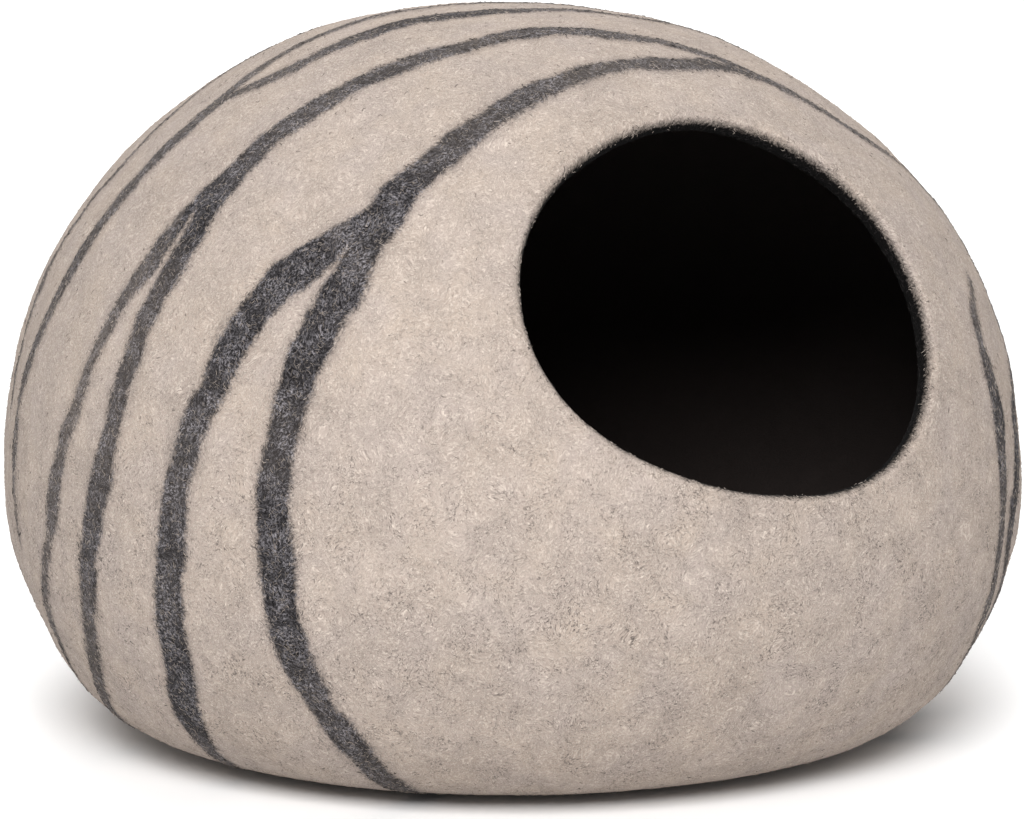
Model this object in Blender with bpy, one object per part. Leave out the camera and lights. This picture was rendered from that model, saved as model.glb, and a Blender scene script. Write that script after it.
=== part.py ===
"""A felt cat cave: one seamless pebble of thick wool felt with an oval way in.

The cave is felted in the round, so the wall, the floor and the lip of the opening are
one piece and one solid. Metres, +Z up. The origin is on the floor, under the middle of
the cave. The opening looks along -Y and is tilted up.
"""

import math
from collections import namedtuple

import bmesh
import bpy
import numpy as np
from mathutils import Vector

MM = 0.001

# The outside, as level sections through the pebble: the height above the floor, and
# the reach from the middle to the side. The first row is the edge of the flat that it
# stands on, and the last row is the crown.
Section = namedtuple("Section", "height reach")
SECTIONS = (
    Section(0, 117),
    Section(5, 154),
    Section(19, 176.5),
    Section(43, 192),
    Section(77, 204.5),
    Section(117, 206),
    Section(158, 199),
    Section(196, 183),
    Section(229, 158),
    Section(252, 131),
    Section(269, 104),
    Section(282, 71),
    Section(289, 36),
    Section(291, 0),
)
CROWN = SECTIONS[-1].height * MM
DEPTH_SHARE = 0.976  # front to back, over side to side
LEAN_X = -5.5 * MM  # how far the crown stands off the middle
LEAN_Y = 3.1 * MM

# Broad swells and hollows of the hand-felted wall. Turn is seen from above, from the
# front round by the right. Rise is above the level through the heart. Spread is the
# half-width of the bump, and a swell below zero is a hollow.
Swell = namedtuple("Swell", "turn rise spread out")
SWELLS = (
    Swell(35, 62, 26, -1.6),
    Swell(118, 30, 30, 1.8),
    Swell(165, 48, 24, -2.0),
    Swell(205, 12, 28, 1.6),
    Swell(262, 40, 24, -1.4),
    Swell(322, 8, 26, 1.2),
    Swell(15, -6, 22, 1.5),
    Swell(58, -30, 20, -4.0),
)
CALM_FOOT = 40 * MM  # swells fade out below this height, so the foot stays round

# The felt wall, and the lip where it is cut through for the opening.
WALL = 9.0 * MM
LIP_ROUND = 3.4 * MM
LIP_STEPS = 3
LIP_CORNER = math.radians(60)  # only an edge sharper than this is rounded

# The oval opening. Its axis leaves the heart, a point inside on the middle line. It is cut
# by hand, so its middle lies a little off the axis and its outline bulges in three places.
HEART_HEIGHT = 80 * MM
OPENING_TILT = math.radians(32.5)
OPENING_WIDTH = 173 * MM
OPENING_HEIGHT = 152 * MM
OPENING_ROLL = math.radians(4)  # the right end of the oval hangs lower
OPENING_OFF_X = -3 * MM
OPENING_OFF_UP = 2 * MM
BULGE = 2.5 * MM
BULGE_TURN = math.radians(65)  # one of the three, at equal turns
WIDEST_RIM_ANGLE = math.radians(60)
RIM_HALVINGS = 40

# How finely the skin is cut: round the opening's axis, and from the lip to the far end.
ROUND_STEPS = 64
LENGTH_STEPS = 35
RIM_CROWDING = 0.28  # rows stand this much closer together at the lip
CURVE_STEPS = 16  # points between two sections

FELT_COLOUR = (0.60, 0.52, 0.46, 1.0)
FELT_ROUGHNESS = 0.95

HEART = Vector((0.0, 0.0, HEART_HEIGHT))
OPENING_AXIS = Vector((0.0, -math.cos(OPENING_TILT), math.sin(OPENING_TILT)))
OPENING_UP = Vector((0.0, math.sin(OPENING_TILT), math.cos(OPENING_TILT)))
OPENING_RIGHT = Vector((1.0, 0.0, 0.0))


def clear_scene():
    """Leaves an empty scene."""
    for thing in list(bpy.data.objects):
        bpy.data.objects.remove(thing)


def smooth_curve(points, steps):
    """A Catmull-Rom curve through the points; the first and last only guide its ends."""
    share = np.arange(steps)[:, None] / steps
    stretches = []
    for a, b, c, d in zip(points[:-3], points[1:-2], points[2:-1], points[3:]):
        stretch = 2 * b + (c - a) * share
        stretch += (2 * a - 5 * b + 4 * c - d) * share**2
        stretch += (3 * b - a - 3 * c + d) * share**3
        stretches.append(0.5 * stretch)
    return np.vstack([*stretches, points[-2:-1]])


def outline():
    """The side view of the pebble as (reach, height) points, from the floor's middle up."""
    rows = np.array([(row.reach, row.height) for row in SECTIONS]) * MM
    guide_in = np.array([[rows[0, 0] / 2, 0.0]])
    guide_over = rows[-2:-1] * (-1.0, 1.0)
    curve = smooth_curve(np.vstack([guide_in, rows, guide_over]), CURVE_STEPS)
    curve[:, 1] = np.maximum(curve[:, 1], 0.0)
    return np.vstack([[0.0, 0.0], curve])


OUTLINE = outline()
OUTLINE_RISE = np.arctan2(OUTLINE[:, 1] - HEART_HEIGHT, OUTLINE[:, 0])


def swell_out(way, height):
    """How far the swells move the skin outwards in this direction from the heart."""
    turn = math.atan2(way.x, -way.y)
    rise = math.asin(max(-1.0, min(1.0, way.z)))
    out = 0.0
    for swell in SWELLS:
        middle_turn = math.radians(swell.turn)
        middle_rise = math.radians(swell.rise)
        cosine = math.sin(rise) * math.sin(middle_rise)
        cosine += math.cos(rise) * math.cos(middle_rise) * math.cos(turn - middle_turn)
        away = math.acos(max(-1.0, min(1.0, cosine))) / math.radians(swell.spread)
        out += swell.out * MM * math.exp(-away * away)
    calm = min(1.0, height / CALM_FOOT)
    return out * calm * calm * (3 - 2 * calm)


def skin_reach(way):
    """The distance from the heart to the outer skin along a unit direction."""
    level = math.hypot(way.x, way.y / DEPTH_SHARE)
    rise = math.atan2(way.z, level)
    reach = float(np.interp(rise, OUTLINE_RISE, OUTLINE[:, 0]))
    height = float(np.interp(rise, OUTLINE_RISE, OUTLINE[:, 1]))
    distance = math.hypot(reach, height - HEART_HEIGHT) / math.hypot(level, way.z)
    return distance + swell_out(way, height)


def way_out(from_axis, turn):
    """A unit direction: its angle from the opening's axis, and its turn round the axis."""
    across = OPENING_RIGHT * math.cos(turn) + OPENING_UP * math.sin(turn)
    return OPENING_AXIS * math.cos(from_axis) + across * math.sin(from_axis)


def oval_radius(turn):
    """The opening's radius at a turn round its axis."""
    along = math.cos(turn + OPENING_ROLL) / (OPENING_WIDTH / 2)
    across = math.sin(turn + OPENING_ROLL) / (OPENING_HEIGHT / 2)
    off = OPENING_OFF_X * math.cos(turn) + OPENING_OFF_UP * math.sin(turn)
    return 1.0 / math.hypot(along, across) + off + BULGE * math.cos(3 * (turn - BULGE_TURN))


def rim_angle(turn):
    """The angle from the axis at which the oval leaves the skin, found by halving."""
    low, high = 0.0, WIDEST_RIM_ANGLE
    wanted = oval_radius(turn)
    for _ in range(RIM_HALVINGS):
        middle = (low + high) / 2
        if skin_reach(way_out(middle, turn)) * math.sin(middle) < wanted:
            low = middle
        else:
            high = middle
    return high


def skin_point(share, turn, rim):
    """The outer skin at a share of the way from the lip (0) to the far end (1)."""
    eased = share * (1 - RIM_CROWDING + RIM_CROWDING * share)
    way = way_out(rim + (math.pi - rim) * eased, turn)
    point = HEART + way * skin_reach(way)
    up = max(point.z, 0.0)
    lean = Vector((LEAN_X, LEAN_Y, 0.0)) * (up / CROWN)
    return Vector((point.x, point.y, up)) + lean


def shape_skin(mesh):
    """Turns a ball into the open outer skin: its north end becomes the opening."""
    bmesh.ops.create_uvsphere(
        mesh, u_segments=ROUND_STEPS, v_segments=LENGTH_STEPS + 1, radius=1.0
    )
    north = max(mesh.verts, key=lambda vert: vert.co.z)
    bmesh.ops.delete(mesh, geom=[north], context="VERTS")
    rims = {}
    for vert in mesh.verts:
        down = math.acos(max(-1.0, min(1.0, vert.co.z)))
        turn = math.atan2(vert.co.y, vert.co.x)
        row = round(down / math.pi * (LENGTH_STEPS + 1))
        column = round(turn / (2 * math.pi) * ROUND_STEPS)
        if column not in rims:
            rims[column] = rim_angle(turn)
        vert.co = skin_point((row - 1) / LENGTH_STEPS, turn, rims[column])


def stand_on_origin(mesh):
    """Moves the skin so that its box stands on the origin."""
    corners = np.array([vert.co for vert in mesh.verts])
    middle = (corners.min(axis=0) + corners.max(axis=0)) / 2
    bmesh.ops.translate(mesh, verts=mesh.verts, vec=(-middle[0], -middle[1], 0.0))


def felt_material():
    """Light grey-beige wool felt, quite matt."""
    material = bpy.data.materials.new("light_wool_felt")
    material.use_nodes = True
    shader = material.node_tree.nodes["Principled BSDF"]
    shader.inputs["Base Color"].default_value = FELT_COLOUR
    shader.inputs["Roughness"].default_value = FELT_ROUGHNESS
    shader.inputs["Metallic"].default_value = 0.0
    return material


def make_cave():
    """The whole cave: the skin, thickened inwards to the wall, with a round lip."""
    mesh = bmesh.new()
    shape_skin(mesh)
    stand_on_origin(mesh)
    data = bpy.data.meshes.new("felt_shell")
    mesh.to_mesh(data)
    mesh.free()
    cave = bpy.data.objects.new("felt_shell", data)
    bpy.context.scene.collection.objects.link(cave)
    data.materials.append(felt_material())
    data.shade_smooth()

    wall = cave.modifiers.new("wall", "SOLIDIFY")
    wall.thickness = WALL
    wall.offset = -1.0
    wall.use_even_offset = True
    wall.use_quality_normals = True
    lip = cave.modifiers.new("lip", "BEVEL")
    lip.width = LIP_ROUND
    lip.segments = LIP_STEPS
    lip.limit_method = "ANGLE"
    lip.angle_limit = LIP_CORNER
    return cave


def main():
    clear_scene()
    make_cave()


main()
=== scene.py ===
"""The looks of a felt cat cave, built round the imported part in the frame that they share.

The cave is one seamless wall of wet-felted wool. Its skin, lip and lining of dark wool are
one closed mesh, and loose fibres lie on it as a few joined meshes. Metres, +Z up.
"""

import math
from collections import namedtuple
from functools import partial

import bpy
import numpy as np
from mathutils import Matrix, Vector, noise


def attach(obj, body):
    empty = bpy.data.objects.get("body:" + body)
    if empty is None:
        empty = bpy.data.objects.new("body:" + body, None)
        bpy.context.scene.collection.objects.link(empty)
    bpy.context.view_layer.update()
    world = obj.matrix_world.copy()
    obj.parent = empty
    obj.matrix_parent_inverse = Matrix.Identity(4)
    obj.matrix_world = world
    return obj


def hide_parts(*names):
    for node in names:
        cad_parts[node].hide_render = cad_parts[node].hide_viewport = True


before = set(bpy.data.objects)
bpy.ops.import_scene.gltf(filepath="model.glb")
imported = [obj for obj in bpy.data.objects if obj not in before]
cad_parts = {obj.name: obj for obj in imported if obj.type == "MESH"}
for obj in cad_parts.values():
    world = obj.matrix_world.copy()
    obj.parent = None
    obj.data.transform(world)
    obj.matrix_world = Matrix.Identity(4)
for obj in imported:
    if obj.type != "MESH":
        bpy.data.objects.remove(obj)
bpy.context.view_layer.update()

bl_info = {
    "name": "Felt cat cave",
    "version": (1, 0, 0),
    "blender": (4, 5, 0),
    "location": "View3D > Sidebar > Felt cave",
    "description": "Makes a wet-felted wool cat cave with dark bands, and a plain studio for it",
    "category": "Object",
}

MM = 0.001
NODE = "felt_shell"
BODY = "root"


# The form, as in the part's source.

Section = namedtuple("Section", "height reach")
SECTIONS = (
    Section(0, 117),
    Section(5, 154),
    Section(19, 176.5),
    Section(43, 192),
    Section(77, 204.5),
    Section(117, 206),
    Section(158, 199),
    Section(196, 183),
    Section(229, 158),
    Section(252, 131),
    Section(269, 104),
    Section(282, 71),
    Section(289, 36),
    Section(291, 0),
)
CROWN = SECTIONS[-1].height * MM
DEPTH_SHARE = 0.976
LEAN = np.array((-5.5, 3.1, 0.0)) * MM

Swell = namedtuple("Swell", "turn rise spread out")
SWELLS = (
    Swell(35, 62, 26, -1.6),
    Swell(118, 30, 30, 1.8),
    Swell(165, 48, 24, -2.0),
    Swell(205, 12, 28, 1.6),
    Swell(262, 40, 24, -1.4),
    Swell(322, 8, 26, 1.2),
    Swell(15, -6, 22, 1.5),
    Swell(58, -30, 20, -4.0),
)
CALM_FOOT = 40 * MM

WALL = 9.0 * MM
HEART_HEIGHT = 80 * MM
OPENING_TILT = math.radians(32.5)
OPENING_WIDTH = 173 * MM
OPENING_HEIGHT = 152 * MM
OPENING_ROLL = math.radians(4)
OPENING_OFF = np.array((-3.0, 2.0)) * MM  # to the right and up
BULGE = 2.5 * MM
BULGE_TURN = math.radians(65)
WIDEST_RIM_ANGLE = math.radians(60)
RIM_HALVINGS = 40

HEART = np.array((0.0, 0.0, HEART_HEIGHT))
OPENING_AXIS = np.array((0.0, -math.cos(OPENING_TILT), math.sin(OPENING_TILT)))
OPENING_UP = np.array((0.0, math.sin(OPENING_TILT), math.cos(OPENING_TILT)))
OPENING_RIGHT = np.array((1.0, 0.0, 0.0))

CURVE_STEPS = 48  # points between two sections, finer than in the part's source
NORMAL_STEP = 0.01  # radians between the points that a normal is taken from
NEARLY_UPRIGHT = 0.9  # a direction with more of Z than this is too steep to be crossed with Z
CLEAR_OF_RIM = 0.6  # radians from the opening's axis: nothing nearer reaches the skin's box
BOX_STEPS = (181, 361)  # points outwards and round the axis, from which that box is taken
SEED_STEP = 7.31  # how many lumps apart two seeds read the noise

# The dark bands. Each is laid on by hand, so its edges wander, it swells and thins, and it
# forks. Turn is round the opening's axis, from its right end anticlockwise, and out is the
# angle from that axis, both in degrees seen from the heart. Width is in millimetres.
Row = namedtuple("Row", "turn out width")
FRONT_BAND = (
    Row(230, 76, 9),
    Row(222.5, 71.3, 11),
    Row(217, 68.6, 12.5),
    Row(209, 65.9, 13),
    Row(200, 61.5, 14.5),
    Row(192, 57.3, 15.5),
    Row(185, 53.4, 12.5),
    Row(178, 49.4, 13.5),
    Row(171, 45.4, 16),
    Row(167, 43.2, 16),
    Row(162.5, 41.1, 13),
    Row(157.5, 39.5, 14),
    Row(150.5, 37.6, 15),
    Row(145, 36, 13),
    Row(140, 34.8, 12),
    Row(130, 32.7, 11),
    Row(120, 31.5, 11.5),
    Row(108, 30.9, 10),
    Row(98, 31, 8.5),
    Row(88, 31.3, 9.5),
    Row(78, 31.9, 9),
    Row(70, 33.6, 10),
    Row(61, 35, 10),
    Row(52, 35.6, 7),
    Row(45.5, 36.3, 8.5),
    Row(40, 37.2, 8),
    Row(34, 40, 5.5),
    Row(28, 44, 5.5),
    Row(18, 47.8, 6.5),
    Row(7, 49, 8),
    Row(-2, 48.4, 10.5),
    Row(-9, 47, 13),
    Row(-20, 47.8, 15),
    Row(-29, 49, 13),
    Row(-34, 55, 9),
    Row(-42, 66, 7),
    Row(-58, 77, 6),
    Row(-76, 88, 4.5),
)
FRONT_BRANCH = (
    Row(209, 92, 8),
    Row(206, 88.5, 10),
    Row(202.5, 84.9, 14),
    Row(199, 81, 15),
    Row(194.5, 76, 14),
    Row(190.5, 72.4, 13),
    Row(186, 68.6, 13.5),
    Row(181.5, 65.2, 12),
    Row(177, 61.3, 12.5),
    Row(171, 56, 14),
    Row(164.5, 50.3, 16),
    Row(161, 46.4, 16.5),
    Row(158.5, 43.8, 14),
    Row(155.5, 41.5, 10),
    Row(152.5, 39, 6),
)
SECOND_BAND = (
    Row(195.5, 109, 6),
    Row(193, 103.5, 8.5),
    Row(190.5, 96, 9.5),
    Row(186.5, 88, 10),
    Row(182, 82.2, 12.5),
    Row(178, 77.5, 11.5),
    Row(173, 72.4, 10),
    Row(168, 69, 10.5),
    Row(162.5, 65.2, 10.5),
    Row(157, 61.8, 11.5),
    Row(152.5, 59.3, 14),
    Row(148, 57.8, 14),
    Row(143, 55.8, 12.5),
    Row(134, 51.4, 11),
    Row(126, 47.5, 11.5),
    Row(117, 44.3, 10.5),
    Row(108, 42.2, 9.5),
    Row(98, 40.6, 11),
)
SECOND_TAIL = (
    Row(105, 41.7, 9),
    Row(98, 40.6, 11),
    Row(88, 38.8, 10),
    Row(77, 37.4, 8.5),
    Row(69, 36.2, 8),
    Row(61, 35.6, 6),
)
SECOND_BRANCH = (
    Row(190, 112, 5),
    Row(184.5, 105.2, 6),
    Row(180.7, 97.5, 7),
    Row(177, 88.8, 7),
    Row(174, 85.4, 9),
    Row(170, 80.8, 7),
    Row(164.5, 74.6, 5.5),
    Row(157, 67, 8),
    Row(153, 63.4, 11),
    Row(149, 60.6, 8),
    Row(145, 58, 5),
)
THIRD_BAND = (
    Row(172, 99, 5),
    Row(160, 91.2, 7),
    Row(150, 79.9, 9.5),
    Row(141, 72.8, 8.5),
    Row(132, 67.1, 10),
    Row(122, 64.9, 7),
    Row(108, 61.6, 7),
    Row(96, 58.5, 6),
    Row(85, 57.5, 5.5),
    Row(65, 58, 7),
    Row(40, 62, 8),
    Row(0, 68, 9),
    Row(-25, 73, 9),
    Row(-42, 80, 7),
    Row(-52, 90, 5),
)
THIRD_BRANCH = (
    Row(131, 68, 5),
    Row(125, 59.6, 9),
    Row(118, 56.6, 10),
    Row(109, 54, 12),
    Row(100, 51.4, 12),
    Row(92, 50, 9),
    Row(78, 49.5, 6),
    Row(55, 52, 6),
    Row(28, 56, 8),
    Row(-8, 60, 8.5),
    Row(-38, 66, 8),
    Row(-61, 79, 5),
)
THIN_BAND = (
    Row(158, 96.3, 3.5),
    Row(150, 92, 5.5),
    Row(145, 87.8, 6),
    Row(140, 83.4, 6),
    Row(135, 79, 6),
    Row(128, 76.8, 5.5),
    Row(105, 72, 5.5),
    Row(80, 71, 7),
    Row(40, 77, 8),
    Row(5, 85, 8),
    Row(-20, 94, 7),
    Row(-35, 104, 4),
)
SIDE_BAND = (
    Row(7, 37, 3),
    Row(0, 34.5, 7),
    Row(-7, 34.1, 9),
    Row(-12, 35.9, 12),
    Row(-18, 38.6, 13),
    Row(-24, 40.3, 11),
    Row(-29, 42.6, 10),
    Row(-34, 45.4, 9),
    Row(-38.5, 49, 8),
    Row(-41.5, 56, 7),
    Row(-45, 65, 5.5),
    Row(-54, 73, 3.5),
)
BACK_BAND = (
    Row(160, 110, 4),
    Row(140, 99, 8),
    Row(115, 92, 9),
    Row(80, 90, 10),
    Row(50, 95, 9),
    Row(30, 104, 7),
    Row(15, 120, 4),
)
BACK_BRANCH = (
    Row(118, 92.5, 4),
    Row(95, 85.5, 7),
    Row(70, 82.5, 7),
    Row(45, 84, 3),
)
LAST_BAND = (
    Row(140, 128, 4),
    Row(118, 114, 8),
    Row(92, 109, 9),
    Row(65, 113, 8),
    Row(44, 127, 4),
)
# Two lots of bands. Those of one lot lie well apart, and a branch is in the other lot.
MAIN_BANDS = (FRONT_BAND, SECOND_BAND, THIRD_BAND, BACK_BAND)
BRANCH_BANDS = (
    FRONT_BRANCH,
    SECOND_BRANCH,
    SECOND_TAIL,
    THIRD_BRANCH,
    THIN_BAND,
    SIDE_BAND,
    BACK_BRANCH,
    LAST_BAND,
)
BAND_LOTS = (MAIN_BANDS, BRANCH_BANDS)
COURSE_NAMES = ("main_course", "branch_course")
BAND_STEPS = 30  # points between two rows of a band
BAND_HOLD = 5 * MM  # a band's measure is sure this far past its edge
BAND_LET_GO = 9 * MM  # and is no longer read from here on
BAND_TAPER = 0.5  # how fast the width is taken to fall past a band's tip
BAND_SLOPE = 1.5  # millimetres on either side of its edge over which a band rises
FAR_OFF = 100 * MM  # how far off a band counts where its measure isn't read
BATCH = 4096  # points that are measured against a band at a time
INSIDE_NAME = "inside_mm"
TONE_NAME = "tone"
BAKE_MAP = "OFBake"

# How finely the wall is cut.
COLUMNS = 384
OUTER_ROWS = 188
INNER_ROWS = 96
INNER_COLUMNS = 96
RIM_CROWDING = 0.28
LIP_ROWS = 10
LEAST_COLUMNS = 12
CLOSEST_COLUMNS = 1.7 * MM  # a ring whose points are closer than this has half as many
OUTER_EVEN = 0.5  # as far as this share of the way to the far end, rings aren't thinned out
INNER_EVEN = 0.8  # and here those of the lining, once they have their few columns
INSIDE_RANGE = 40.0  # millimetres along the surface over which the lining is measured
INNER_LENGTH = 400.0  # millimetres, about, from the lip to the far end along the lining
MAP_SKIN = 0.66  # the skin's share of the map's height
MAP_LIP = 0.05  # and the lip's, with the lining over it

# The loose fibres. A pair of shares is the least and the most that is picked at random.
FIBRE_NODES = 5
FIBRE_SIDES = 3
ARCH_SHARES = (0.4, 1.0)  # of the height that a lying fibre may arch
FREE_SHARES = (0.3, 1.0)  # of the height that a free end may stand
THICKNESS_SHARES = (0.7, 1.0)
LEAST_SLANT = 0.2  # the skin counts as facing its direction from the heart at least this much
PAST_BAND = 0.8 * MM  # how far past its edge the fibres of a band may start
LIP_BENDS = (-0.2 * math.pi, 1.1 * math.pi)  # from just before the lip to just inside
LINING_STRAY = 0.4  # radians round the lip that dark fibres stray past the lining's edge
RING_HEIGHTS = (0.2, 0.8)  # the map's heights of a fibre's first and last ring
MAP_MARGIN = 0.02

# Tones of the loose fibres, from 0, dark, to 1, pale: the darkest and the palest of a wool.
PALE_TONES = (0.7, 1.0)
ODD_TONES = (0.1, 0.4)  # the few greyer ones among them
BAND_TONES = (0.15, 0.7)
BAND_EDGE_TONES = (0.0, 0.1)
BAND_MIDDLE = (1.0, 3.0)  # millimetres in from a band's edge over which its middle begins
LIP_TONES = (0.6, 1.0)
# The lip's dark fibres are near-black: painted shade at the lip, over the dark lining wool.
LINING_TONES = (0.0, 0.04)


def linear(colour):
    """A linear RGBA colour from an sRGB hex value."""
    parts = [int(colour[place : place + 2], 16) / 255 for place in (1, 3, 5)]
    curved = [x / 12.92 if x <= 0.04045 else ((x + 0.055) / 1.055) ** 2.4 for x in parts]
    return (*curved, 1.0)


def unit(vectors):
    """The same directions at length 1."""
    return vectors / np.linalg.norm(vectors, axis=-1, keepdims=True)


def smoothstep(low, high, value):
    """0 below low, 1 above high, and a soft rise between them."""
    share = np.clip((value - low) / (high - low), 0.0, 1.0)
    return share * share * (3 - 2 * share)


def smooth_curve(points, steps):
    """A Catmull-Rom curve through the points; the first and last only guide its ends."""
    share = np.arange(steps)[:, None] / steps
    stretches = []
    for a, b, c, d in zip(points[:-3], points[1:-2], points[2:-1], points[3:]):
        stretch = 2 * b + (c - a) * share
        stretch += (2 * a - 5 * b + 4 * c - d) * share**2
        stretch += (3 * b - a - 3 * c + d) * share**3
        stretches.append(0.5 * stretch)
    return np.vstack([*stretches, points[-2:-1]])


def outline():
    """The side view of the pebble as (reach, height) points, from the floor's middle up."""
    rows = np.array([(row.reach, row.height) for row in SECTIONS]) * MM
    guide_in = np.array([[rows[0, 0] / 2, 0.0]])
    guide_over = rows[-2:-1] * (-1.0, 1.0)
    curve = smooth_curve(np.vstack([guide_in, rows, guide_over]), CURVE_STEPS)
    curve[:, 1] = np.maximum(curve[:, 1], 0.0)
    return np.vstack([[0.0, 0.0], curve])


OUTLINE = outline()
OUTLINE_RISE = np.arctan2(OUTLINE[:, 1] - HEART_HEIGHT, OUTLINE[:, 0])


def swell_out(ways, heights):
    """How far the swells move the skin outwards in these directions from the heart."""
    turn = np.arctan2(ways[:, 0], -ways[:, 1])
    rise = np.arcsin(np.clip(ways[:, 2], -1.0, 1.0))
    out = np.zeros(len(ways))
    for swell in SWELLS:
        middle_turn = math.radians(swell.turn)
        middle_rise = math.radians(swell.rise)
        cosine = np.sin(rise) * math.sin(middle_rise)
        cosine += np.cos(rise) * math.cos(middle_rise) * np.cos(turn - middle_turn)
        away = np.arccos(np.clip(cosine, -1.0, 1.0)) / math.radians(swell.spread)
        out += swell.out * MM * np.exp(-away * away)
    return out * smoothstep(0.0, CALM_FOOT, heights)


def skin_reach(ways):
    """The distance from the heart to the skin along unit directions."""
    level = np.hypot(ways[:, 0], ways[:, 1] / DEPTH_SHARE)
    rise = np.arctan2(ways[:, 2], level)
    reach = np.interp(rise, OUTLINE_RISE, OUTLINE[:, 0])
    height = np.interp(rise, OUTLINE_RISE, OUTLINE[:, 1])
    distance = np.hypot(reach, height - HEART_HEIGHT) / np.hypot(level, ways[:, 2])
    return distance + swell_out(ways, height)


def leaning_skin(ways):
    """The smooth skin in these directions, before the cave is centred."""
    points = HEART + ways * skin_reach(ways)[:, None]
    points[:, 2] = np.maximum(points[:, 2], 0.0)
    return points + LEAN * (points[:, 2:] / CROWN)


def ways_out(from_axis, turns):
    """Unit directions from their angles from the opening's axis and turns round it."""
    across = OPENING_RIGHT * np.cos(turns)[..., None]
    across = across + OPENING_UP * np.sin(turns)[..., None]
    return OPENING_AXIS * np.cos(from_axis)[..., None] + across * np.sin(from_axis)[..., None]


def middle_of_skin():
    """How far the middle of the leaning skin's box stands off the origin, level."""
    outwards = np.linspace(CLEAR_OF_RIM, math.pi, BOX_STEPS[0])
    turns = np.linspace(0, 2 * math.pi, BOX_STEPS[1])
    from_axis, turns = np.meshgrid(outwards, turns)
    points = leaning_skin(ways_out(from_axis.ravel(), turns.ravel()))
    middle = (points.min(axis=0) + points.max(axis=0)) / 2
    return middle * (1.0, 1.0, 0.0)


MIDDLE = middle_of_skin()


def skin_points(ways):
    """The smooth skin in these directions from the heart, where the cave stands."""
    return leaning_skin(ways) - MIDDLE


def ways_to(points):
    """The directions from the heart in which these points lie, lean and all."""
    upright = points + MIDDLE - LEAN * (points[:, 2:] / CROWN)
    return unit(upright - HEART)


def tangents(normals):
    """Two directions at right angles to each normal and to each other."""
    helper = np.where(np.abs(normals[:, 2:]) > NEARLY_UPRIGHT, (1.0, 0.0, 0.0), (0.0, 0.0, 1.0))
    first = unit(np.cross(normals, helper))
    return first, np.cross(normals, first)


def skin_normals(ways):
    """The skin's outward normals in these directions."""
    first, second = [aside * NORMAL_STEP for aside in tangents(ways)]
    along = skin_points(unit(ways + first)) - skin_points(unit(ways - first))
    across = skin_points(unit(ways + second)) - skin_points(unit(ways - second))
    normals = unit(np.cross(along, across))
    return normals * np.sign((normals * ways).sum(axis=1, keepdims=True))


def oval_radius(turns):
    """The opening's radius at turns round its axis."""
    along = np.cos(turns + OPENING_ROLL) / (OPENING_WIDTH / 2)
    across = np.sin(turns + OPENING_ROLL) / (OPENING_HEIGHT / 2)
    off = OPENING_OFF[0] * np.cos(turns) + OPENING_OFF[1] * np.sin(turns)
    return 1.0 / np.hypot(along, across) + off + BULGE * np.cos(3 * (turns - BULGE_TURN))


def rim_angles(turns):
    """The angles from the axis at which the oval leaves the skin, found by halving."""
    low = np.zeros(len(turns))
    high = np.full(len(turns), WIDEST_RIM_ANGLE)
    wanted = oval_radius(turns)
    for _ in range(RIM_HALVINGS):
        middle = (low + high) / 2
        inside = skin_reach(ways_out(middle, turns)) * np.sin(middle) < wanted
        low = np.where(inside, middle, low)
        high = np.where(inside, high, middle)
    return high


def noise_at(points, size, seed):
    """Soft noise from about -1 to 1 at points, in lumps of this size."""
    places = (points / size + seed * SEED_STEP).tolist()
    return np.array([noise.noise(Vector(place)) for place in places])


def lumps(points, settings):
    """How far the hand-felted surface stands proud of the smooth one."""
    out = noise_at(points, settings.lump_size, 1) * settings.lump_height
    out += noise_at(points, settings.dimple_size, 2) * settings.dimple_height
    return out * smoothstep(0.0, settings.calm_foot, points[:, 2])


# The bands, measured on the skin.


def band_line(rows):
    """A band's middle line: its points on the skin and its half width at each."""
    table = np.array(rows, float)
    guides = np.vstack([2 * table[0] - table[1], table, 2 * table[-1] - table[-2]])
    line = smooth_curve(guides, BAND_STEPS)
    ways = ways_out(np.radians(line[:, 1]), np.radians(line[:, 0]))
    return skin_points(ways), line[:, 2] * MM / 2


def band_course(points, normals, bands):
    """For each point, how it lies to the nearest of these bands, in millimetres.

    The columns are the distance to the side of the middle line, and the distance from that
    line to the band's edge, which falls far below zero where no band is near. The third
    column is empty, so that a mesh can hold the two as a vector.
    """
    best = np.full(len(points), np.inf)
    course = np.zeros((len(points), 3))
    for rows in bands:
        line, half = band_line(rows)
        ahead = unit(np.gradient(line, axis=0))
        for start in range(0, len(points), BATCH):
            part = slice(start, start + BATCH)
            gap = points[part]
            squares = (gap**2).sum(axis=1)[:, None] + (line**2).sum(axis=1) - 2 * gap @ line.T
            near = squares.argmin(axis=1)
            away = gap - line[near]
            distance = np.linalg.norm(away, axis=1)
            closer = distance - half[near] < best[part]
            side = unit(np.cross(normals[part], ahead[near]))
            past_tip = np.abs((away * ahead[near]).sum(axis=1))
            width = half[near] - BAND_TAPER * past_tip
            hold = half[near] + BAND_HOLD
            let_go = half[near] + BAND_LET_GO
            doubt = np.clip((distance - hold) / (let_go - hold), 0.0, 1.0)
            found = np.stack([(away * side).sum(axis=1), width - doubt * FAR_OFF], axis=1)
            course[part, :2][closer] = found[closer] / MM
            best[part] = np.where(closer, distance - half[near], best[part])
    return course


def band_depth(courses):
    """How far outside the nearest band's edge each point lies, in millimetres."""
    return np.minimum(*[np.abs(course[:, 0]) - course[:, 1] for course in courses])


def raised(depth, settings):
    """How far the laid-on wool stands proud, from how far outside the bands a point lies."""
    return settings.band_raise * (1 - smoothstep(-BAND_SLOPE, BAND_SLOPE, depth))


# The wall: rings of points from the far end over the skin, round the lip and inside.


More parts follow.
